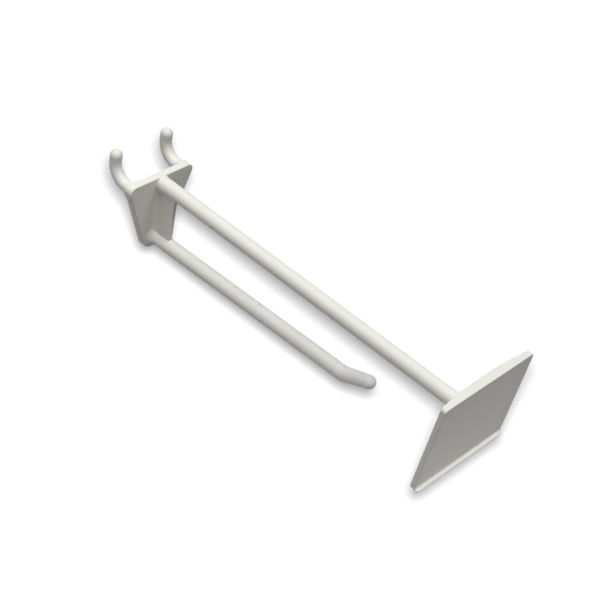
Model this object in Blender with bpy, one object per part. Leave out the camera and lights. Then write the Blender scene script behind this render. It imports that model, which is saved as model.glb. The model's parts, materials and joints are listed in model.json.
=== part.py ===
"""Scan hook for pegboard: one injection moulded piece of off-white plastic.

Two bent pegs go through neighbouring holes of the board and turn up behind it. A tapered back
plate bears on the board's face. From the plate a level upper arm runs forward to a label plate
with a ledge along its foot, and a shorter lower arm with an upturned tip carries the goods. A
thin web joins the two arms where they leave the plate.

Frame: metres, +Z up, +Y into the board. The origin is on the board's face, midway between the
two pegs, at the height of their axes.
"""

import math

import bpy
import bmesh
from mathutils import Vector

# Pegs, which fit the board's holes
PEG_PITCH = 0.0254
PEG_DIAMETER = 0.0048
PEG_REACH = 0.0100
PEG_BEND_RADIUS = 0.0075
PEG_RISE = 0.0098
PEG_ROOT_FLARE = 0.0018

# Back plate, a trapezium that narrows downwards
PLATE_THICKNESS = 0.0030
PLATE_TOP_WIDTH = 0.0342
PLATE_FOOT_WIDTH = 0.0096
PLATE_ABOVE_PEGS = 0.0030
PLATE_HEIGHT = 0.0322
PLATE_CORNER_RADIUS = 0.0030
PLATE_EDGE_RADIUS = 0.0008

# Arms
ARM_DIAMETER = 0.0059
ARM_SPACING = 0.0254
UPPER_ARM_LENGTH = 0.1510
LOWER_ARM_RISE = math.radians(1.7)
LOWER_ROOT_FLARE = 0.0030
BEND_REACH = 0.0995
BEND_RADIUS = 0.0048
TIP_ANGLE = math.radians(22.4)
TIP_LENGTH = 0.0119
TIP_DIAMETER = 0.0052

# Web between the arms
WEB_THICKNESS = 0.0019
WEB_DEPTH = 0.0084
WEB_FILLET = 0.0019
WEB_END_FILLET = 0.0005
WEB_EDGE_RADIUS = 0.0006

# Label plate
LABEL_WIDTH = 0.0472
LABEL_HEIGHT = 0.0393
LABEL_EDGE_THICKNESS = 0.0021
LABEL_CROWN = 0.0013
LABEL_ABOVE_ARM = 0.0173
LABEL_TILT = math.radians(4.2)
LABEL_CORNER_RADIUS = 0.0015
LABEL_EDGE_RADIUS = 0.0004
LEDGE_DEPTH = 0.0014
LEDGE_THICKNESS = 0.0012
LEDGE_NOSE_RADIUS = 0.0005
LABEL_ROOT_FLARE = 0.0012

# Fineness of the curved surfaces
ARM_SIDES = 40
PEG_SIDES = 32
BEND_STEPS = 8
ROUND_STEPS = 4
CORNER_STEPS = 6
CROWN_STEPS = 12
SMOOTH_ANGLE = math.radians(35)

# How far one form runs into the next, so that their union has no shared faces
SINK = PLATE_THICKNESS / 2
FLARE_BITE = 0.00005
TRIM_INSET = 0.0001
WELD_DISTANCE = 0.000002

ARM_RADIUS = ARM_DIAMETER / 2
PLATE_FRONT = -PLATE_THICKNESS
PLATE_TOP = PLATE_ABOVE_PEGS
PLATE_FOOT = PLATE_TOP - PLATE_HEIGHT


def clear_scene():
    """Remove every object that a new file starts with."""
    for obj in list(bpy.data.objects):
        bpy.data.objects.remove(obj, do_unlink=True)


def arc(centre, radius, start, end, steps):
    """Points along an arc in a plane, ends included, as (u, v) pairs."""
    return [(centre[0] + radius * math.cos(start + (end - start) * i / steps),
             centre[1] + radius * math.sin(start + (end - start) * i / steps))
            for i in range(steps + 1)]


def rounded_polygon(corners, radius, steps):
    """A convex outline, counter-clockwise, with every corner turned by an arc."""
    outline = []
    for i, corner in enumerate(corners):
        here = Vector(corner)
        into = (here - Vector(corners[i - 1])).normalized()
        out = (Vector(corners[(i + 1) % len(corners)]) - here).normalized()
        turn = into.angle(out)
        centre = here + (out - into).normalized() * radius / math.cos(turn / 2)
        start = math.atan2(-into.x, into.y)
        outline += arc(centre, radius, start, start + turn, steps)
    return outline


def loft(name, rings, pole=None):
    """A closed solid through rings of equal length, whose last one may draw in to a pole."""
    mesh = bpy.data.meshes.new(name)
    bm = bmesh.new()
    loops = [[bm.verts.new(point) for point in ring] for ring in rings]
    count = len(rings[0])
    for near, far in zip(loops, loops[1:]):
        for i in range(count):
            j = (i + 1) % count
            bm.faces.new((near[i], near[j], far[j], far[i]))
    bm.faces.new(loops[0])
    if pole is None:
        bm.faces.new(loops[-1])
    else:
        tip = bm.verts.new(pole)
        for i in range(count):
            bm.faces.new((loops[-1][i], loops[-1][(i + 1) % count], tip))
    bmesh.ops.recalc_face_normals(bm, faces=bm.faces)
    bm.to_mesh(mesh)
    bm.free()
    obj = bpy.data.objects.new(name, mesh)
    bpy.context.scene.collection.objects.link(obj)
    return obj


def combine(target, other, operation):
    """Apply a Boolean of another solid to the target, and remove the other."""
    modifier = target.modifiers.new(operation.lower(), 'BOOLEAN')
    modifier.operation = operation
    modifier.solver = 'EXACT'
    modifier.object = other
    graph = bpy.context.evaluated_depsgraph_get()
    result = bpy.data.meshes.new_from_object(target.evaluated_get(graph))
    target.modifiers.clear()
    target.data = result
    bpy.data.objects.remove(other, do_unlink=True)
    weld(result)


def weld(mesh):
    """Close the hairline seams that rounding leaves along a cut."""
    bm = bmesh.new()
    bm.from_mesh(mesh)
    bmesh.ops.remove_doubles(bm, verts=bm.verts, dist=WELD_DISTANCE)
    bmesh.ops.dissolve_degenerate(bm, dist=WELD_DISTANCE, edges=bm.edges)
    bm.to_mesh(mesh)
    bm.free()


def rod(name, stations, sides, rounded=True):
    """Sweep a circle along stations of (side, y, z, heading, radius).

    The heading is the angle in the upright plane from straight ahead, -Y, towards +Z. The last
    station ends in a half sphere, or flat.
    """
    def ring(x, y, z, heading, radius):
        up = Vector((0, math.sin(heading), math.cos(heading)))
        across = Vector((1, 0, 0))
        centre = Vector((x, y, z))
        angles = [2 * math.pi * (i + 0.5) / sides for i in range(sides)]
        return [centre + across * radius * math.cos(a) + up * radius * math.sin(a)
                for a in angles]

    rings = [ring(*station) for station in stations]
    pole = None
    if rounded:
        x, y, z, heading, radius = stations[-1]
        ahead = Vector((0, -math.cos(heading), math.sin(heading)))
        for i in range(1, ROUND_STEPS + 2):
            turn = math.pi / 2 * i / (ROUND_STEPS + 2)
            centre = Vector((x, y, z)) + ahead * radius * math.sin(turn)
            rings.append(ring(*centre, heading, radius * math.cos(turn)))
        pole = Vector((x, y, z)) + ahead * radius
    return loft(name, rings, pole)


def flare_stations(radius, flare, steps):
    """Distance and radius pairs of a concave flare, from its wide foot to the plain rod."""
    pairs = []
    for i in range(steps + 1):
        turn = math.pi / 2 * i / steps
        pairs.append((flare * (1 - math.cos(turn)) - FLARE_BITE,
                      radius + flare * (1 - math.sin(turn))))
    return pairs


def plate_outline(inset):
    """The back plate's outline in x and z, drawn in by an inset."""
    lean = math.atan2((PLATE_TOP_WIDTH - PLATE_FOOT_WIDTH) / 2, PLATE_HEIGHT)
    top = PLATE_TOP - inset
    foot = PLATE_FOOT + inset

    def half_width(z):
        return (PLATE_TOP_WIDTH / 2 - (PLATE_TOP - z) * math.tan(lean)
                - inset / math.cos(lean))

    corners = [(half_width(top), top), (-half_width(top), top),
               (-half_width(foot), foot), (half_width(foot), foot)]
    return rounded_polygon(corners, PLATE_CORNER_RADIUS - inset, CORNER_STEPS)


def plate_slab(name, stations):
    """A solid through outlines of the plate, given as (y, inset)."""
    return loft(name, [[(x, y, z) for x, z in plate_outline(inset)] for y, inset in stations])


def back_plate():
    """The plate that bears on the board, with its front rim rounded."""
    stations = [(0.0, 0.0)]
    for i in range(ROUND_STEPS + 1):
        turn = math.pi / 2 * i / ROUND_STEPS
        stations.append((PLATE_FRONT + PLATE_EDGE_RADIUS * (1 - math.sin(turn)),
                         PLATE_EDGE_RADIUS * (1 - math.cos(turn))))
    return plate_slab('back_plate', stations)


def peg(side):
    """One peg, from inside the plate back through its hole and up behind the board."""
    x = side * PEG_PITCH / 2
    radius = PEG_DIAMETER / 2
    backwards = math.pi
    stations = [(x, -SINK, 0.0, backwards, radius + PEG_ROOT_FLARE)]
    for distance, width in flare_stations(radius, PEG_ROOT_FLARE, ROUND_STEPS):
        stations.append((x, distance, 0.0, backwards, width))
    for i in range(BEND_STEPS + 1):
        turn = math.pi / 2 * i / BEND_STEPS
        stations.append((x, PEG_REACH - PEG_BEND_RADIUS * (1 - math.sin(turn)),
                         PEG_BEND_RADIUS * (1 - math.cos(turn)), backwards - turn, radius))
    stations.append((x, PEG_REACH, PEG_RISE, math.pi / 2, radius))
    shape = rod('peg', stations, PEG_SIDES)
    trim_to_plate(shape, PLATE_FRONT, PEG_ROOT_FLARE)
    return shape


def trim_to_plate(shape, front, back):
    """Cut a root flare flush with the plate's outline, between two distances from the board."""
    reach = 2 * max(PLATE_TOP_WIDTH, PLATE_HEIGHT)
    corners = ((reach, reach), (-reach, reach), (-reach, -reach), (reach, -reach))
    block = loft('trim', [[(x, y, z) for x, z in corners] for y in (front, back)])
    keep = plate_slab('keep', [(front - PLATE_THICKNESS, TRIM_INSET),
                               (back + PLATE_THICKNESS, TRIM_INSET)])
    combine(block, keep, 'DIFFERENCE')
    combine(shape, block, 'DIFFERENCE')


def upper_arm():
    """The level arm, from inside the back plate to inside the label plate."""
    start = PLATE_FRONT + SINK
    end = PLATE_FRONT - UPPER_ARM_LENGTH
    stations = [(0.0, start, 0.0, 0.0, ARM_RADIUS)]
    for distance, width in reversed(flare_stations(ARM_RADIUS, LABEL_ROOT_FLARE, ROUND_STEPS)):
        stations.append((0.0, end + distance, 0.0, 0.0, width))
    stations.append((0.0, end - LABEL_EDGE_THICKNESS / 2, 0.0, 0.0,
                     ARM_RADIUS + LABEL_ROOT_FLARE))
    return rod('upper_arm', stations, ARM_SIDES, rounded=False)


def lower_arm():
    """The goods arm: flared root, slight rise, short bend and an upturned tapered tip."""
    rise = math.tan(LOWER_ARM_RISE)

    def on_axis(distance, radius):
        return (0.0, PLATE_FRONT - distance, -ARM_SPACING + distance * rise,
                LOWER_ARM_RISE, radius)

    stations = [on_axis(-SINK, ARM_RADIUS + LOWER_ROOT_FLARE)]
    stations += [on_axis(*pair)
                 for pair in flare_stations(ARM_RADIUS, LOWER_ROOT_FLARE, ROUND_STEPS)]

    corner = Vector((PLATE_FRONT - BEND_REACH, -ARM_SPACING + BEND_REACH * rise))
    turn = TIP_ANGLE - LOWER_ARM_RISE
    tangent = BEND_RADIUS * math.tan(turn / 2)
    start = corner - tangent * Vector((-math.cos(LOWER_ARM_RISE), math.sin(LOWER_ARM_RISE)))
    centre = start + BEND_RADIUS * Vector((math.sin(LOWER_ARM_RISE), math.cos(LOWER_ARM_RISE)))
    for i in range(BEND_STEPS + 1):
        heading = LOWER_ARM_RISE + turn * i / BEND_STEPS
        point = centre - BEND_RADIUS * Vector((math.sin(heading), math.cos(heading)))
        stations.append((0.0, point.x, point.y, heading, ARM_RADIUS))
    tip = corner + TIP_LENGTH * Vector((-math.cos(TIP_ANGLE), math.sin(TIP_ANGLE)))
    stations.append((0.0, tip.x, tip.y, TIP_ANGLE, TIP_DIAMETER / 2))
    shape = rod('lower_arm', stations, ARM_SIDES)
    trim_to_plate(shape, PLATE_FRONT - LOWER_ROOT_FLARE, 0.0)
    return shape


def web_section(z, flare):
    """The web's plan section at one height, its front edge standing out by the flare."""
    half = WEB_THICKNESS / 2
    edge = PLATE_FRONT - WEB_DEPTH - flare
    nose = min(WEB_EDGE_RADIUS, WEB_THICKNESS / 3)
    right = [(half + WEB_FILLET, PLATE_FRONT + SINK)]
    right += arc((half + WEB_FILLET, PLATE_FRONT - WEB_FILLET), WEB_FILLET,
                 math.pi / 2, math.pi, CORNER_STEPS)
    right += arc((half - nose, edge + nose), nose, 0.0, -math.pi / 2, ROUND_STEPS)
    return [(x, y, z) for x, y in right] + [(-x, y, z) for x, y in reversed(right)]


def web():
    """The thin upright web between the arms, its front edge filleted to both of them."""
    foot = -ARM_SPACING + ARM_RADIUS + WEB_DEPTH * math.tan(LOWER_ARM_RISE)
    end = flare_stations(0.0, WEB_END_FILLET, ROUND_STEPS)
    levels = [(-ARM_SPACING, WEB_END_FILLET)]
    levels += [(foot + distance, flare) for distance, flare in end]
    levels += [(-ARM_RADIUS - distance, flare) for distance, flare in reversed(end)]
    levels.append((0.0, WEB_END_FILLET))
    return loft('web', [web_section(z, flare) for z, flare in levels])


def drawn_in(radius, distance):
    """How far a quarter round has drawn in, at a distance from the end that it rounds."""
    short = max(0.0, radius - distance)
    return radius - math.sqrt(radius ** 2 - short ** 2)


def label_section(inset, proud, half_width):
    """The label plate's plan section: straight front, crowned back and rounded ends.

    Coordinates are x and the depth behind the front face. proud is how far the front stands
    forward of the face, for the ledge.
    """
    round_end = LABEL_EDGE_THICKNESS / 2 - LABEL_EDGE_RADIUS
    half = half_width - inset
    front = -proud + inset
    back = LABEL_EDGE_THICKNESS - inset
    side = arc((half - LABEL_EDGE_RADIUS, front + LABEL_EDGE_RADIUS), LABEL_EDGE_RADIUS,
               -math.pi / 2, 0.0, ROUND_STEPS)
    side += arc((half - round_end, back - round_end), round_end, 0.0, math.pi / 2, ROUND_STEPS)
    crown = []
    for i in range(1, CROWN_STEPS):
        across = 1 - 2 * i / CROWN_STEPS
        crown.append(((half - round_end) * across, back + LABEL_CROWN * (1 - across ** 2)))
    return side + crown + [(-x, depth) for x, depth in reversed(side)]


def label_levels():
    """Heights above the label plate's foot, each with how far the ledge stands proud."""
    quarter = [math.pi / 2 * i / CORNER_STEPS for i in range(CORNER_STEPS + 1)]
    nose = min(LEDGE_NOSE_RADIUS, LEDGE_DEPTH / 2, LEDGE_THICKNESS / 2)
    fillet = LEDGE_DEPTH - nose
    levels = [(LABEL_EDGE_RADIUS * (1 - math.cos(turn)), LEDGE_DEPTH) for turn in quarter]
    levels += [(LEDGE_THICKNESS - nose * (1 - math.sin(turn)), fillet + nose * math.cos(turn))
               for turn in quarter]
    levels += [(LEDGE_THICKNESS + fillet * (1 - math.cos(turn)), fillet * (1 - math.sin(turn)))
               for turn in quarter[1:]]
    levels += [(LABEL_HEIGHT - LABEL_CORNER_RADIUS * (1 - math.sin(turn)), 0.0)
               for turn in quarter]
    return levels


def label_plate():
    """The label plate, its foot leaning a little back, with the ledge along its foot."""
    down = Vector((0, math.sin(LABEL_TILT), -math.cos(LABEL_TILT)))
    backward = Vector((0, math.cos(LABEL_TILT), math.sin(LABEL_TILT)))
    back_at_arm = Vector((0, PLATE_FRONT - UPPER_ARM_LENGTH, 0))
    face_at_arm = back_at_arm - backward * (LABEL_EDGE_THICKNESS + LABEL_CROWN)
    foot = face_at_arm + down * (LABEL_HEIGHT - LABEL_ABOVE_ARM)
    rings = []
    for height, proud in label_levels():
        end = min(height, LABEL_HEIGHT - height)
        half_width = LABEL_WIDTH / 2 - drawn_in(LABEL_CORNER_RADIUS, end)
        section = label_section(drawn_in(LABEL_EDGE_RADIUS, end), proud, half_width)
        rings.append([foot - down * height + Vector((x, 0, 0)) + backward * depth
                      for x, depth in section])
    return loft('label_plate', rings)


def plastic():
    """Satin off-white moulded plastic."""
    material = bpy.data.materials.new('offwhite_plastic')
    material.use_nodes = True
    shader = material.node_tree.nodes['Principled BSDF']
    shader.inputs['Base Color'].default_value = (0.78, 0.77, 0.71, 1.0)
    shader.inputs['Roughness'].default_value = 0.42
    shader.inputs['Metallic'].default_value = 0.0
    return material


def build():
    """Unite the forms into the one moulded piece."""
    clear_scene()
    hook = back_plate()
    hook.name = 'scan_hook'
    forms = [web(), peg(-1), peg(1), lower_arm(), upper_arm(), label_plate()]
    for form in forms:
        combine(hook, form, 'UNION')
    hook.data.name = 'scan_hook'
    hook.data.materials.clear()
    hook.data.materials.append(plastic())
    hook.data.shade_smooth()
    hook.data.set_sharp_from_angle(angle=SMOOTH_ANGLE)


build()
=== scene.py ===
# %% [markdown]
# # A scan hook for pegboard
#
# The real object is one injection moulding in off-white plastic. Two bent pegs go through
# neighbouring holes of a pegboard. A tapered plate bears on the board, a lower arm carries the
# goods, and an upper arm holds a label plate out in front, where a shopper can read the ticket.
#
# The measured model is loaded first, as a fixed frame. It already has the right size and place,
# but its round parts are faceted. The finer moulding that is modelled here takes its overall
# sizes from that frame, so it can't drift away from it.

import json
import math

import bmesh
import bpy
from mathutils import Matrix, Vector


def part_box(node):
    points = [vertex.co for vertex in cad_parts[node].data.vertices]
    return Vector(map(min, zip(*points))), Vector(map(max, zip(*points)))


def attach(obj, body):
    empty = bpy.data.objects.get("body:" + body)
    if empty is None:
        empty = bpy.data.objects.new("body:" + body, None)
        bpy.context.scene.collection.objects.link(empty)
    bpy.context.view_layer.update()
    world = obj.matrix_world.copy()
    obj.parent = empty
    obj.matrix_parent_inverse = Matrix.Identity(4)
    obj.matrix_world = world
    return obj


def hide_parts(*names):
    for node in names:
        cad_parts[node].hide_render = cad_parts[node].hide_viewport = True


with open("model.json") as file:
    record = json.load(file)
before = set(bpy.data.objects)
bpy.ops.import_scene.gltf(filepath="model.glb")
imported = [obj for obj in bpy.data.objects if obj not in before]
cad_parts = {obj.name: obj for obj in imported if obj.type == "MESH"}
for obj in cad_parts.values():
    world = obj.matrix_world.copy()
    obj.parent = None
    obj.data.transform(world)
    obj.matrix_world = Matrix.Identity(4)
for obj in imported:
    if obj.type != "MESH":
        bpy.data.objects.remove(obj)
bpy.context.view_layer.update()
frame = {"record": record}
hook_low, hook_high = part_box("scan_hook")
mounts = {mount["name"]: mount for mount in frame["record"]["mounts"]}
print("hook from", tuple(hook_low), "to", tuple(hook_high))

# %% [markdown]
# ## The camera
#
# The camera's place was found by fitting the outline of the model to the outline in the picture.
# It stands to the left of the hook, in front of it and above it, and is rolled clockwise. The
# lens is a long one, so the far end of the hook is drawn only a little smaller than the near one.
# Lengths are in metres.

# %% Camera
AZIMUTH = math.radians(-54.19)
ELEVATION = math.radians(39.18)
ROLL = math.radians(12.40)
DISTANCE = 0.5850
LENS_MM = 98
SENSOR_MM = 36
AIM = Vector((0, -0.0780, -0.01223))
AIM_RIGHT = 0.00012
AIM_UP = 0.00547
NEAREST_SEEN = 0.01


def camera_matrix():
    """Place the camera by its azimuth, elevation and roll round the point that it aims at."""
    back = Vector((math.sin(AZIMUTH) * math.cos(ELEVATION),
                   -math.cos(AZIMUTH) * math.cos(ELEVATION), math.sin(ELEVATION)))
    level_right = Vector((math.cos(AZIMUTH), math.sin(AZIMUTH), 0))
    level_up = back.cross(level_right)
    right = level_right * math.cos(ROLL) + level_up * math.sin(ROLL)
    up = level_up * math.cos(ROLL) - level_right * math.sin(ROLL)
    matrix = Matrix((right, up, back)).transposed().to_4x4()
    matrix.translation = AIM + back * DISTANCE + right * AIM_RIGHT + up * AIM_UP
    return matrix


bpy.ops.object.camera_add()
camera = bpy.context.object
camera.name = "camera"
camera.data.lens = LENS_MM
camera.data.sensor_width = SENSOR_MM
camera.data.clip_start = NEAREST_SEEN
camera.matrix_world = camera_matrix()
bpy.context.scene.camera = camera
print("camera at", tuple(round(value, 4) for value in camera.location))

# %% [markdown]
# ## The sizes of the moulding
#
# Overall sizes are read from the frame's box, and the tilt of the label plate from the mount on
# its face. The sizes that a box can't tell, such as the thickness of an arm, are named here in
# millimetres.

# %% Sizes
MM = 0.001

PEG_PITCH = 25.4 * MM
PEG_RADIUS = 2.4 * MM
PEG_BEND_RADIUS = 7.5 * MM
PEG_RISE = 9.8 * MM
PEG_FLARE = 1.8 * MM
PEG_FLARE_LENGTH = 3.6 * MM

PLATE_THICKNESS = 3.0 * MM
PLATE_ABOVE_PEGS = 3.0 * MM
PLATE_TOP_WIDTH = 34.2 * MM
PLATE_FOOT_WIDTH = 9.6 * MM
PLATE_CORNER_RADIUS = 3.0 * MM
PLATE_RIM_RADIUS = 0.35 * MM

ARM_RADIUS = 2.95 * MM
ARM_SPACING = 25.4 * MM
LOWER_RISE = math.radians(1.7)
LOWER_FLARE = 3.0 * MM
BEND_REACH = 99.5 * MM
BEND_RADIUS = 4.8 * MM
TIP_ANGLE = math.radians(22.4)
TIP_LENGTH = 11.9 * MM
TIP_RADIUS = 2.6 * MM

WEB_THICKNESS = 1.9 * MM
WEB_DEPTH = 8.4 * MM
WEB_FILLET = 1.9 * MM
WEB_EDGE_RADIUS = 0.6 * MM

LABEL_HEIGHT = 39.3 * MM
LABEL_EDGE_THICKNESS = 2.1 * MM
LABEL_CROWN = 1.3 * MM
LABEL_ABOVE_ARM = 17.3 * MM
LABEL_CORNER_RADIUS = 1.5 * MM
LABEL_FLARE = 1.2 * MM
LEDGE_DEPTH = 1.4 * MM
LEDGE_THICKNESS = 1.2 * MM
LEDGE_FALL = 0.6 * MM
LEDGE_FILLET = 0.5 * MM
LEDGE_NOSE = 0.3 * MM

PEG_BACK = hook_high.y - PEG_RADIUS
LABEL_THICKNESS = LABEL_EDGE_THICKNESS + LABEL_CROWN
PLATE_TOP = PLATE_ABOVE_PEGS
PLATE_FOOT = hook_low.z
PLATE_FRONT = -PLATE_THICKNESS
LABEL_WIDTH = hook_high.x - hook_low.x

face_point = Vector(mounts["label_face"]["pos_m"])
face_normal = Vector(mounts["label_face"]["axis"])
LABEL_TILT = math.atan2(-face_normal.z, -face_normal.y)
LABEL_BACK_AT_ARM = (face_point.y + face_point.z * math.tan(LABEL_TILT)
                     + LABEL_THICKNESS / math.cos(LABEL_TILT))
print("label tilt", round(math.degrees(LABEL_TILT), 2), "width", round(LABEL_WIDTH / MM, 2),
      "back at the arm's height", round(LABEL_BACK_AT_ARM / MM, 2))

# %% [markdown]
# ## Tools for modelling by hand
#
# Everything is modelled with the same operators as by hand: add a primitive, go into edit mode,
# select something, then extrude, resize or bevel it. By hand the selection is clicked. In a
# script it is made by a test on each element's place or direction, and such a test allows for the
# rounding of numbers: places closer than NEAR are the same, and directions whose cosine is over
# PARALLEL are parallel.

# %% Modelling helpers
ROUND_SIDES = 96
ROUND_STEPS = 8
NEAR = 0.01 * MM
PARALLEL = 0.99


def deselect():
    """Leave nothing selected, so that the next operator acts on the new shape only."""
    bpy.ops.object.select_all(action="DESELECT")


def named(name):
    """Give the active object its name and put its place, turn and size into its mesh."""
    shape = bpy.context.object
    shape.name = name
    bpy.ops.object.transform_apply(location=True, rotation=True, scale=True)
    return shape


def block(name, low, high):
    """A box between two corners."""
    low, high = Vector(low), Vector(high)
    deselect()
    bpy.ops.mesh.primitive_cube_add(size=1, location=(low + high) / 2, scale=high - low)
    return named(name)


def pick(kind, test):
    """In edit mode, select the vertices, edges or faces that pass a test, and nothing else."""
    bpy.ops.mesh.select_mode(type=kind)
    bpy.ops.mesh.select_all(action="DESELECT")
    mesh = bmesh.from_edit_mesh(bpy.context.object.data)
    for element in {"VERT": mesh.verts, "EDGE": mesh.edges, "FACE": mesh.faces}[kind]:
        element.select_set(test(element))
    mesh.select_flush_mode()
    bmesh.update_edit_mesh(bpy.context.object.data)


def middle(edge):
    """The point half way along an edge."""
    return (edge.verts[0].co + edge.verts[1].co) / 2


def runs_along(axis, edge):
    """Whether an edge runs along an axis of the world, either way."""
    heading = (edge.verts[1].co - edge.verts[0].co).normalized()
    return abs(getattr(heading, axis)) > PARALLEL


def bevel(width, steps):
    """Round the selected edges."""
    bpy.ops.mesh.bevel(offset_type="OFFSET", offset=width, segments=steps, profile=0.5,
                       affect="EDGES", clamp_overlap=False)


def quarter(steps):
    """The angles of a quarter turn, both ends included."""
    return [math.pi / 2 * i / steps for i in range(steps + 1)]


def combine(shape, other, operation):
    """Apply a Boolean with another solid, which is then removed."""
    deselect()
    bpy.context.view_layer.objects.active = shape
    shape.select_set(True)
    modifier = shape.modifiers.new(operation.lower(), "BOOLEAN")
    modifier.operation = operation
    modifier.solver = "EXACT"
    modifier.object = other
    bpy.ops.object.modifier_apply(modifier=modifier.name)
    bpy.data.objects.remove(other, do_unlink=True)


def pull(distance):
    """Extrude the selected face by a vector."""
    bpy.ops.mesh.extrude_region_move(TRANSFORM_OT_translate={"value": distance})


def close_up():
    """Turn all faces outwards, keep the last selection, and leave edit mode."""
    bpy.ops.mesh.select_all(action="SELECT")
    bpy.ops.mesh.normals_make_consistent(inside=False)
    bpy.ops.object.mode_set(mode="OBJECT")


def round_bar(name, place, angle, stations):
    """A round bar from a circle that is extruded and resized, station by station.

    The bar starts at a place and runs towards -Y, raised by an angle. Each station is the
    distance along the bar and its radius there.
    """
    deselect()
    start, radius = stations[0]
    along = Vector((0, -math.cos(angle), math.sin(angle)))
    bpy.ops.mesh.primitive_circle_add(vertices=ROUND_SIDES, radius=radius, fill_type="NGON",
                                      location=Vector(place) + along * start,
                                      rotation=(math.pi / 2 - angle, 0, 0))
    shape = named(name)
    bpy.ops.object.mode_set(mode="EDIT")
    bpy.ops.mesh.select_all(action="SELECT")
    for distance, wide in stations[1:]:
        pull(along * (distance - start))
        bpy.ops.transform.resize(value=(wide / radius,) * 3,
                                 center_override=Vector(place) + along * distance)
        start, radius = distance, wide
    close_up()
    return shape

# %% [markdown]
# ## The back plate
#
# The plate is a flat box whose lower end is drawn in to a trapezium. Rounding a corner by a
# radius takes a different bevel width at a sharp corner than at a blunt one, so the width is
# worked out from the corner's angle.

# %% Back plate
SIDE_LEAN = math.atan((PLATE_TOP_WIDTH - PLATE_FOOT_WIDTH) / 2 / (PLATE_TOP - PLATE_FOOT))


def corner_width(radius, corner):
    """The bevel width that gives a radius at a corner of this inner angle."""
    return radius / math.tan(corner / 2)


def plate_prism(name, front, back):
    """The plate's outline with round corners, between two distances from the board."""
    half = PLATE_TOP_WIDTH / 2
    shape = block(name, (-half, front, PLATE_FOOT), (half, back, PLATE_TOP))
    bpy.ops.object.mode_set(mode="EDIT")
    pick("VERT", lambda vertex: vertex.co.z < 0)
    bpy.ops.transform.resize(value=(PLATE_FOOT_WIDTH / PLATE_TOP_WIDTH, 1, 1))
    for level, corner in ((PLATE_TOP, math.pi / 2 - SIDE_LEAN),
                          (PLATE_FOOT, math.pi / 2 + SIDE_LEAN)):
        pick("EDGE", lambda edge: runs_along("y", edge) and abs(middle(edge).z - level) < NEAR)
        bevel(corner_width(PLATE_CORNER_RADIUS, corner), ROUND_STEPS)
    bpy.ops.object.mode_set(mode="OBJECT")
    return shape


plate = plate_prism("back_plate", PLATE_FRONT, 0)
bpy.ops.object.mode_set(mode="EDIT")
pick("EDGE", lambda edge: abs(middle(edge).y - PLATE_FRONT) < NEAR)
bevel(PLATE_RIM_RADIUS, ROUND_STEPS // 2)
bpy.ops.object.mode_set(mode="OBJECT")
print("back plate", len(plate.data.polygons), "faces")

# %% [markdown]
# ## Arms and pegs
#
# An arm is a circle that is pulled out and resized from station to station, as on a lathe. Where
# it leaves a plate it flares in a quarter round, which is how a mould maker lets plastic flow
# round a corner. A bend is made by spinning the end face. The round ends are spheres of the same
# radius, which the last step melts into the bar.
#
# The flares of the pegs and of the lower arm are wider than the plate's corners, so they are
# bars of their own, cut flush with the plate's outline.

# %% Arms and pegs
BURIED = PLATE_THICKNESS / 2


def flare_stations(radius, flare, length):
    """Distance and radius along a flare, from its wide foot to the plain bar."""
    return [(length * (1 - math.cos(turn)), radius + flare * (1 - math.sin(turn)))
            for turn in quarter(ROUND_STEPS)]


def round_end(name, place, radius):
    """A sphere that rounds the end of a bar."""
    deselect()
    bpy.ops.mesh.primitive_uv_sphere_add(segments=ROUND_SIDES // 2, ring_count=ROUND_SIDES // 4,
                                         radius=radius, location=place)
    return named(name)


def root_flare(name, place, angle, radius, flare, length, front, back):
    """A flare at the plate, cut flush with the plate's outline."""
    stations = [(-BURIED, radius + flare)] + flare_stations(radius, flare, length)
    shape = round_bar(name, place, angle, stations)
    combine(shape, plate_prism("flush", front, back), "INTERSECT")
    return shape


def pick_end(place, along):
    """Select the face that ends a bar, by its direction and the plane that it lies in."""
    pick("FACE", lambda face: face.normal.dot(along) > PARALLEL
         and abs((face.calc_center_median() - place).dot(along)) < NEAR)


def make_peg(side):
    """One peg: out behind the board, a quarter bend, and up to a round end."""
    x = side * PEG_PITCH / 2
    start = PEG_BACK - PEG_BEND_RADIUS
    peg = round_bar(f"peg_{side}", (x, 0, 0), math.pi, [(-BURIED, PEG_RADIUS),
                                                         (start, PEG_RADIUS)])
    bpy.ops.object.mode_set(mode="EDIT")
    pick_end(Vector((x, start, 0)), Vector((0, 1, 0)))
    bpy.ops.mesh.spin(steps=ROUND_STEPS * 2, angle=-math.pi / 2,
                      center=(x, start, PEG_BEND_RADIUS), axis=(1, 0, 0))
    pull((0, 0, PEG_RISE - PEG_BEND_RADIUS))
    close_up()
    end = round_end(f"peg_end_{side}", (x, PEG_BACK, PEG_RISE), PEG_RADIUS)
    flare = root_flare(f"peg_flare_{side}", (x, 0, 0), math.pi, PEG_RADIUS, PEG_FLARE,
                       PEG_FLARE_LENGTH, -PLATE_THICKNESS, 2 * PEG_FLARE_LENGTH)
    return [peg, end, flare]


def make_upper_arm():
    """The level arm, flared where it meets the label plate."""
    length = PLATE_FRONT - LABEL_BACK_AT_ARM
    stations = [(-BURIED, ARM_RADIUS)]
    stations += [(length - distance, radius)
                 for distance, radius in reversed(flare_stations(ARM_RADIUS, LABEL_FLARE,
                                                                 LABEL_FLARE))]
    stations.append((length + LABEL_EDGE_THICKNESS / 2, ARM_RADIUS + LABEL_FLARE))
    return round_bar("upper_arm", (0, PLATE_FRONT, 0), 0, stations)


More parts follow.
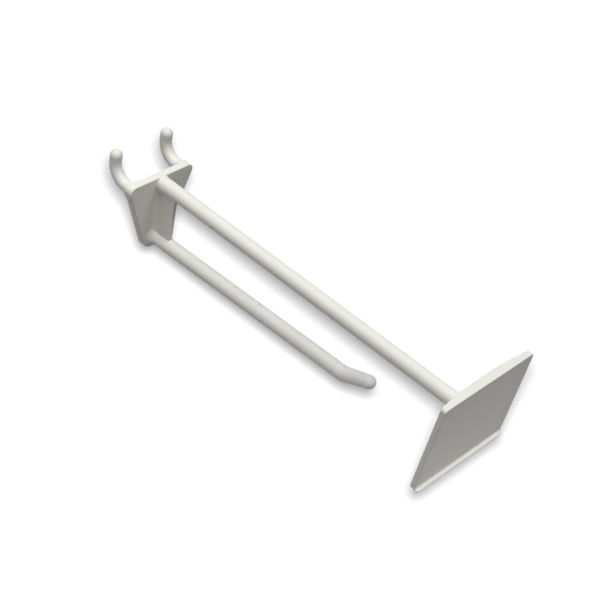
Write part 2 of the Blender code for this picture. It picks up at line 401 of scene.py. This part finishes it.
def make_lower_arm():
    """The goods arm: a slow rise, a short bend, and an upturned tip that tapers."""
    root = Vector((0, PLATE_FRONT, -ARM_SPACING))
    reach = BEND_REACH / math.cos(LOWER_RISE)
    turn = TIP_ANGLE - LOWER_RISE
    tangent = BEND_RADIUS * math.tan(turn / 2)
    arm = round_bar("lower_arm", root, LOWER_RISE, [(-BURIED, ARM_RADIUS),
                                                    (reach - tangent, ARM_RADIUS)])
    along = Vector((0, -math.cos(LOWER_RISE), math.sin(LOWER_RISE)))
    above = Vector((0, math.sin(LOWER_RISE), math.cos(LOWER_RISE)))
    tip_along = Vector((0, -math.cos(TIP_ANGLE), math.sin(TIP_ANGLE)))
    corner = root + along * reach
    bend_start = corner - along * tangent
    tip = corner + tip_along * TIP_LENGTH
    bpy.ops.object.mode_set(mode="EDIT")
    pick_end(bend_start, along)
    bpy.ops.mesh.spin(steps=ROUND_STEPS * 2, angle=turn, center=bend_start + above * BEND_RADIUS,
                      axis=(1, 0, 0))
    pull(tip_along * (TIP_LENGTH - tangent))
    bpy.ops.transform.resize(value=(TIP_RADIUS / ARM_RADIUS,) * 3, center_override=tip)
    close_up()
    flare = root_flare("lower_flare", root, LOWER_RISE, ARM_RADIUS, LOWER_FLARE, LOWER_FLARE,
                       PLATE_FRONT - LOWER_FLARE - BURIED, 0)
    return [arm, flare, round_end("tip_end", tip, TIP_RADIUS)]


forms = [plate, make_upper_arm()]
forms += make_lower_arm()
forms += make_peg(-1) + make_peg(1)
print("arms and pegs", [form.name for form in forms[1:]])

# %% [markdown]
# ## The web
#
# The web is a thin box in the corner between the plate and the arms. Its foot on the plate is
# pulled out in steps that widen like a quarter round, and its free edge is rounded.

# %% Web
def make_web():
    """The web, widened where it stands on the plate."""
    half = WEB_THICKNESS / 2
    web = block("web", (-half, PLATE_FRONT - WEB_DEPTH, -ARM_SPACING),
                (half, PLATE_FRONT - WEB_FILLET, 0))
    bpy.ops.object.mode_set(mode="EDIT")
    pick("EDGE", lambda edge: runs_along("z", edge)
         and middle(edge).y < PLATE_FRONT - WEB_DEPTH / 2)
    bevel(WEB_EDGE_RADIUS, ROUND_STEPS // 2)
    pick("FACE", lambda face: face.normal.y > PARALLEL)
    wide, out = half, 0
    for distance, spread in reversed(flare_stations(half, WEB_FILLET, WEB_FILLET)):
        pull((0, WEB_FILLET - distance - out, 0))
        bpy.ops.transform.resize(value=(spread / wide, 1, 1))
        wide, out = spread, WEB_FILLET - distance
    pull((0, BURIED, 0))
    close_up()
    return web


forms.append(make_web())
print("web", len(forms[-1].data.polygons), "faces")

# %% [markdown]
# ## The label plate
#
# The face of the label plate is flat, and its back is crowned, which keeps a thin moulding
# straight as it cools. The crown is a slice of a very large cylinder, cut with a Boolean. The
# ledge is a strip of the face pulled forward. Its top falls towards its nose, so that it lets go
# of the mould, and its two ends are rounded.
#
# It is modelled upright, with the middle of its crown on the world's origin at the arm's height.
# It is cut by two outlines, one seen from the front and one from above, and then tilted and moved
# to its place.

# %% Label plate
LABEL_FOOT = LABEL_ABOVE_ARM - LABEL_HEIGHT
CROWN_RADIUS = ((LABEL_WIDTH / 2) ** 2 + LABEL_CROWN ** 2) / (2 * LABEL_CROWN)
CROWN_SIDES = 1440


def make_label_plate():
    """The label plate with its crowned back, ledge and rounded corners."""
    half = LABEL_WIDTH / 2
    face = -LABEL_THICKNESS
    label = block("label_plate", (-half, face, LABEL_FOOT), (half, 0, LABEL_ABOVE_ARM))
    deselect()
    bpy.ops.mesh.primitive_cylinder_add(vertices=CROWN_SIDES, radius=CROWN_RADIUS,
                                        depth=2 * LABEL_HEIGHT, location=(0, -CROWN_RADIUS, 0))
    combine(label, named("crown"), "INTERSECT")

    bpy.ops.object.mode_set(mode="EDIT")
    bpy.ops.mesh.select_all(action="SELECT")
    ledge_top = LABEL_FOOT + LEDGE_THICKNESS
    bpy.ops.mesh.bisect(plane_co=(0, 0, ledge_top), plane_no=(0, 0, 1))
    pick("FACE", lambda face: face.normal.y < -PARALLEL
         and face.calc_center_median().z < ledge_top)
    pull((0, -LEDGE_DEPTH, 0))
    nose = face - LEDGE_DEPTH

    def pick_along(y, z):
        """Select the edge that runs across the whole width at this place."""
        pick("EDGE", lambda edge: runs_along("x", edge)
             and (middle(edge) - Vector((0, y, z))).length < NEAR)

    pick_along(nose, ledge_top)
    bpy.ops.transform.translate(value=(0, 0, -LEDGE_FALL))
    pick_along(face, ledge_top)
    bevel(LEDGE_FILLET, ROUND_STEPS)
    pick_along(nose, ledge_top - LEDGE_FALL)
    bevel(LEDGE_NOSE, ROUND_STEPS)
    close_up()

    rounded = {
        "front_outline": (lambda edge: runs_along("y", edge), LABEL_CORNER_RADIUS),
        "plan_outline": (lambda edge: runs_along("z", edge) and middle(edge).y < face,
                         LEDGE_DEPTH)}
    for name, (test, radius) in rounded.items():
        outline = block(name, (-half, nose, LABEL_FOOT), (half, LABEL_THICKNESS, LABEL_ABOVE_ARM))
        bpy.ops.object.mode_set(mode="EDIT")
        pick("EDGE", test)
        bevel(radius, ROUND_STEPS)
        close_up()
        combine(label, outline, "INTERSECT")
    return label


label = make_label_plate()
label.rotation_euler = (LABEL_TILT, 0, 0)
label.location = (0, LABEL_BACK_AT_ARM, 0)
forms.append(named("label_plate"))
for form in forms:
    low = [min(corner[axis] for corner in form.bound_box) / MM for axis in range(3)]
    high = [max(corner[axis] for corner in form.bound_box) / MM for axis in range(3)]
    print(form.name, len(form.data.polygons), [round(value, 2) for value in low],
          [round(value, 2) for value in high])

# %% [markdown]
# ## One moulding
#
# The real hook was never put together: the plastic filled one mould. So the forms are joined and
# melted into one skin with a voxel remesh, which keeps the outside only. A light smoothing then
# rounds every edge and corner a little, as a mould's own corners do. A remesh has far more faces
# than the flat parts need, so the result is thinned.

# %% Melt the forms into one moulding
VOXEL = 0.18 * MM
SMOOTHING = 4
SMOOTHING_FACTOR = 0.5
MOST_TRIANGLES = 180_000


def apply(shape, kind, **settings):
    """Add a modifier with its settings and apply it."""
    modifier = shape.modifiers.new(kind.lower(), kind)
    for name, value in settings.items():
        setattr(modifier, name, value)
    bpy.ops.object.modifier_apply(modifier=modifier.name)


deselect()
for form in forms:
    form.select_set(True)
bpy.context.view_layer.objects.active = plate
bpy.ops.object.join()
hook = bpy.context.object
hook.name = "hook_moulding"
hook.data.name = "hook_moulding"
apply(hook, "REMESH", mode="VOXEL", voxel_size=VOXEL)
apply(hook, "SMOOTH", factor=SMOOTHING_FACTOR, iterations=SMOOTHING)
fine_triangles = 2 * len(hook.data.polygons)
apply(hook, "DECIMATE", ratio=min(1, MOST_TRIANGLES / fine_triangles))
bpy.ops.object.shade_smooth()
print("moulding", fine_triangles, "triangles, thinned to", len(hook.data.polygons), "faces")
print("size", [round(value / MM, 2) for value in hook.dimensions])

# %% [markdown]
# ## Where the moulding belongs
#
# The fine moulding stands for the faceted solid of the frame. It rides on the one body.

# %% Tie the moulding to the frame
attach(hook, "root")
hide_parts("scan_hook")

# %% [markdown]
# ## The plastic
#
# Hooks like this are moulded in ABS, a hard plastic, coloured right through with a white pigment
# that is a little warm. The mould's steel was spark eroded to a fine grain, so the surface is
# satin: a lamp shows on it as a soft bright patch and never as a sharp image. Three things keep it
# from looking like a drawing: the grain, a very slow waviness where thick and thin walls cooled at
# different speeds, and a slightly uneven gloss.
#
# The scale of a noise texture is the number of its features in a metre, so it is one divided by
# the size of a feature. The real grain is a few hundredths of a millimetre across, too fine for
# this picture, so it is drawn as coarse as it needs to show.
#
# Two faint lines ring the lower arm. They look like witness lines, which plastic shows where two
# inserts of a mould met. They are far too shallow to model, so they are drawn a little darker.

# %% Helpers for materials
def colour(code):
    """Turn an sRGB hex code into the linear colour that a shader takes."""
    channels = [int(code[i:i + 2], 16) / 255 for i in (1, 3, 5)]
    linear = [value / 12.92 if value <= 0.04045 else ((value + 0.055) / 1.055) ** 2.4
              for value in channels]
    return (*linear, 1)


def add(tree, kind, links, values, **settings):
    """Add a node with its settings, the links into its inputs and the values of the others.

    An input is named, or numbered where a node has several inputs of one name.
    """
    node = tree.nodes.new(kind)
    for name, value in settings.items():
        setattr(node, name, value)
    for name, value in values.items():
        node.inputs[name].default_value = value
    for name, socket in links.items():
        tree.links.new(socket, node.inputs[name])
    return node


def empty_tree(owner):
    """Give a material or the world a node tree with nothing in it."""
    owner.use_nodes = True
    owner.node_tree.nodes.clear()
    return owner.node_tree


# %% Moulded ABS
BASE = colour("#E4E4DC")
WARMER = colour("#E2E1D8")
TINT_SIZE = 30 * MM
TINT_DETAIL = 2
GLOSS_SIZE = 5 * MM
GLOSS_DETAIL = 3
ROUGHNESS = (0.36, 0.46)
MOST_OF_NOISE = (0.3, 0.7)
WAVE_SIZE = 14 * MM
WAVE_DEPTH = 0.05 * MM
GRAIN_SIZE = 0.8 * MM
GRAIN_DEPTH = 0.02 * MM
GRAIN_DETAIL = 2
WITNESS_TINT = colour("#CBCBC4")
WITNESS_LINES = (-59 * MM, -99 * MM)
WITNESS_WIDTH = 0.35 * MM
WITNESS_STRENGTH = 0.5
ABS_IOR = 1.53
SPECULAR = 0.1


def witness_lines(tree, place):
    """The strength of the witness lines' tint: nothing away from them and on the upper arm."""
    axes = add(tree, "ShaderNodeSeparateXYZ", {"Vector": place}, {}).outputs
    lines = []
    for y in WITNESS_LINES:
        past = add(tree, "ShaderNodeMath", {0: axes["Y"]}, {1: y}, operation="SUBTRACT")
        away = add(tree, "ShaderNodeMath", {0: past.outputs["Value"]}, {}, operation="ABSOLUTE")
        line = add(tree, "ShaderNodeMapRange", {"Value": away.outputs["Value"]},
                   {"From Max": WITNESS_WIDTH, "To Min": WITNESS_STRENGTH, "To Max": 0})
        lines.append(line.outputs["Result"])
    both = add(tree, "ShaderNodeMath", {0: lines[0], 1: lines[1]}, {}, operation="MAXIMUM")
    low = add(tree, "ShaderNodeMath", {0: axes["Z"]}, {1: -ARM_SPACING / 2},
              operation="LESS_THAN")
    return add(tree, "ShaderNodeMath", {0: both.outputs["Value"], 1: low.outputs["Value"]}, {},
               operation="MULTIPLY").outputs["Value"]


def make_plastic():
    """Moulded ABS: satin, finely grained, a little uneven in tint and gloss."""
    material = bpy.data.materials.new("abs_spark_eroded")
    tree = empty_tree(material)
    place = add(tree, "ShaderNodeTexCoord", {}, {}).outputs["Object"]
    tint = add(tree, "ShaderNodeTexNoise", {"Vector": place},
               {"Scale": 1 / TINT_SIZE, "Detail": TINT_DETAIL})
    tinted = add(tree, "ShaderNodeMix", {0: tint.outputs["Fac"]}, {6: BASE, 7: WARMER},
                 data_type="RGBA")
    lined = add(tree, "ShaderNodeMix", {0: witness_lines(tree, place), 6: tinted.outputs[2]},
                {7: WITNESS_TINT}, data_type="RGBA")
    gloss = add(tree, "ShaderNodeTexNoise", {"Vector": place},
                {"Scale": 1 / GLOSS_SIZE, "Detail": GLOSS_DETAIL})
    roughness = add(tree, "ShaderNodeMapRange", {"Value": gloss.outputs["Fac"]},
                    {"From Min": MOST_OF_NOISE[0], "From Max": MOST_OF_NOISE[1],
                     "To Min": ROUGHNESS[0], "To Max": ROUGHNESS[1]})
    wave = add(tree, "ShaderNodeTexNoise", {"Vector": place}, {"Scale": 1 / WAVE_SIZE})
    waved = add(tree, "ShaderNodeBump", {"Height": wave.outputs["Fac"]},
                {"Distance": WAVE_DEPTH})
    grain = add(tree, "ShaderNodeTexNoise", {"Vector": place},
                {"Scale": 1 / GRAIN_SIZE, "Detail": GRAIN_DETAIL})
    grained = add(tree, "ShaderNodeBump",
                  {"Height": grain.outputs["Fac"], "Normal": waved.outputs["Normal"]},
                  {"Distance": GRAIN_DEPTH})
    shader = add(tree, "ShaderNodeBsdfPrincipled",
                 {"Base Color": lined.outputs[2], "Roughness": roughness.outputs["Result"],
                  "Normal": grained.outputs["Normal"]},
                 {"IOR": ABS_IOR, "Specular IOR Level": SPECULAR})
    add(tree, "ShaderNodeOutputMaterial", {"Surface": shader.outputs["BSDF"]}, {})
    return material


plastic = make_plastic()
hook.data.materials.clear()
hook.data.materials.append(plastic)
print("plastic", len(plastic.node_tree.nodes), "nodes")

# %% [markdown]
# ## The floor
#
# The picture shows the hook on plain white, with a soft shadow close beside each of its parts. So
# the floor is white paper that glows a little where it is seen, and a lamp of its own brings it
# up to full white. The hook keeps that lamp off the paper in places, which makes the shadow. To
# the hook the paper is dim, because light from below would flatten the undersides.

# %% Floor
FLOOR_LEVEL = -90 * MM
FLOOR_SIZE = 6.0
PAPER = colour("#F4F4F4")
DIM_PAPER = colour("#3C3C3C")
PAPER_GLOW = 0.42
PAPER_ROUGHNESS = 0.9
WHITE = colour("#FFFFFF")


def seen_as_white(tree):
    """One for the rays of the camera and for those that gloss sends on, else nothing."""
    rays = add(tree, "ShaderNodeLightPath", {}, {}).outputs
    mirrored = add(tree, "ShaderNodeMath", {0: rays["Is Glossy Ray"],
                                            1: rays["Is Transmission Ray"]}, {},
                   operation="MAXIMUM")
    return add(tree, "ShaderNodeMath", {0: rays["Is Camera Ray"], 1: mirrored.outputs["Value"]},
               {}, operation="MAXIMUM").outputs["Value"]


def make_paper():
    """Paper that is white where it is seen, and sends little light up to the hook."""
    material = bpy.data.materials.new("white_paper")
    tree = empty_tree(material)
    seen = seen_as_white(tree)
    glow = add(tree, "ShaderNodeMath", {0: seen}, {1: PAPER_GLOW}, operation="MULTIPLY")
    shade = add(tree, "ShaderNodeMix", {0: seen}, {6: DIM_PAPER, 7: PAPER}, data_type="RGBA")
    shader = add(tree, "ShaderNodeBsdfPrincipled",
                 {"Base Color": shade.outputs[2], "Emission Strength": glow.outputs["Value"]},
                 {"Roughness": PAPER_ROUGHNESS, "Specular IOR Level": 0,
                  "Emission Color": WHITE})
    add(tree, "ShaderNodeOutputMaterial", {"Surface": shader.outputs["BSDF"]}, {})
    return material


deselect()
bpy.ops.mesh.primitive_plane_add(size=FLOOR_SIZE, location=(0, 0, FLOOR_LEVEL))
floor = named("floor")
floor.data.materials.append(make_paper())
print("floor at", FLOOR_LEVEL)

# %% [markdown]
# ## The lamps
#
# The picture's light is soft and comes from high up, a little in front of the hook: everything
# that looks up is bright, and everything upright is a mid grey, whichever way it faces. Two wide
# soft suns make it, one from either side, so that the upper arm doesn't darken the lower one. A
# low sun from the left opens up the sides of the arms, and a high one from behind lights the
# pegs. A soft box over the root and two small low ones are there because the picture is softest
# at the root and at the lower ends of both plates. The small ones are a little pink, because the
# shaded faces are a plainer grey than the bright ones. The last sun is opposite the camera. It
# adds nothing to this picture, but keeps the back and the underside from going black.
#
# All these lamps light the hook alone, and the hook alone can shade them. So they may shine from
# below the floor, and their strength can be set without a thought for the paper.

# %% Lamps for the hook
HOOK_MIDDLE = (Vector(hook_low) + Vector(hook_high)) / 2
# Tilt from straight up, turn from -Y towards -X and spread, all in degrees, and then strength.
SUNS = {"sun_front_right": (22, -45, 25, 1.41),
        "sun_front_left": (16, 45, 25, 1.47),
        "sun_left": (75, 90, 30, 0.13),
        "sun_behind": (27, 155, 25, 0.16),
        "sun_below_behind": (125, 234, 40, 0.8)}
# Place and size in metres, power and tint.
SOFT_BOXES = {"root_box": ((-0.30, 0.10, 0.30), 0.30, 0.64, "#FFFFFF"),
              "low_box_label": ((-0.03, -0.22, -0.07), 0.06, 0.019, "#FFF8FF"),
              "low_box_root": ((-0.08, -0.10, -0.16), 0.08, 0.042, "#FFF8FF")}

shade_casters = bpy.data.collections.new("shade_casters")
shade_casters.objects.link(hook)


def lamp(kind, name, place, lit, **settings):
    """A lamp that looks at the hook, lights one piece only, and is shaded by the hook only."""
    bpy.ops.object.light_add(type=kind, location=place)
    light = bpy.context.object
    light.name = name
    light.rotation_euler = (Vector(place) - HOOK_MIDDLE).to_track_quat("Z", "Y").to_euler()
    light.visible_camera = False
    for setting, value in settings.items():
        setattr(light.data, setting, value)
    pieces = bpy.data.collections.new(f"lit_by_{name}")
    pieces.objects.link(lit)
    light.light_linking.receiver_collection = pieces
    light.light_linking.blocker_collection = shade_casters
    return light


def sky_direction(tilt, turn):
    """The direction that leans from straight up by a tilt, towards a turn from -Y to -X."""
    return Vector((-math.sin(tilt) * math.sin(turn), -math.sin(tilt) * math.cos(turn),
                   math.cos(tilt)))


for name, (tilt, turn, spread, strength) in SUNS.items():
    towards = sky_direction(math.radians(tilt), math.radians(turn))
    lamp("SUN", name, HOOK_MIDDLE + towards, hook, angle=math.radians(spread), energy=strength)
for name, (place, size, power, tint) in SOFT_BOXES.items():
    lamp("AREA", name, place, hook, size=size, energy=power, color=colour(tint)[:3])
print("lamps for the hook", [*SUNS, *SOFT_BOXES])

# %% [markdown]
# ## The lamp for the paper
#
# It stands almost at the camera, so each shadow stays beside the part that throws it. On a flat
# floor, a lamp's light falls with the cube of its distance: with the square because it spreads,
# and once more because it lands at a slant. That would leave the far paper grey. Of the two
# falloff nodes, the first takes the spreading away and the second the slant, so that the lamp
# lights the whole floor evenly.

# %% Lamp for the paper
SHADOW_LAMP_RIGHT = 4 * MM
SHADOW_LAMP_UP = 15 * MM
SHADOW_LAMP_RADIUS = 17 * MM
SHADOW_LAMP_POWER = 57.5

side, top = camera.matrix_world.col[0].xyz, camera.matrix_world.col[1].xyz
shadow_lamp = lamp("POINT", "shadow_lamp", camera.matrix_world.translation
                   + side * SHADOW_LAMP_RIGHT + top * SHADOW_LAMP_UP,
                   floor, shadow_soft_size=SHADOW_LAMP_RADIUS, energy=SHADOW_LAMP_POWER)
tree = empty_tree(shadow_lamp.data)
unspread = add(tree, "ShaderNodeLightFalloff", {}, {"Strength": 1})
unslanted = add(tree, "ShaderNodeLightFalloff", {"Strength": unspread.outputs["Constant"]}, {})
glow = add(tree, "ShaderNodeEmission", {"Strength": unslanted.outputs["Linear"]}, {})
add(tree, "ShaderNodeOutputLight", {"Surface": glow.outputs["Emission"]}, {})
print("lamp for the paper at", tuple(round(value, 4) for value in shadow_lamp.location))

# %% [markdown]
# ## The room
#
# Around the floor there is only a white room. The camera and the gloss of the plastic see it. It
# gives no light of its own, because the lamps give all the light that the picture shows.

# %% World
def make_world():
    """A room that is white for the camera and for reflections, and gives no light itself."""
    world = bpy.data.worlds.new("white_room")
    tree = empty_tree(world)
    shader = add(tree, "ShaderNodeBackground", {"Strength": seen_as_white(tree)},
                 {"Color": WHITE})
    add(tree, "ShaderNodeOutputWorld", {"Surface": shader.outputs["Background"]}, {})
    return world


bpy.context.scene.world = make_world()
bpy.context.scene.view_settings.view_transform = "Standard"
print("world", bpy.context.scene.world.name)
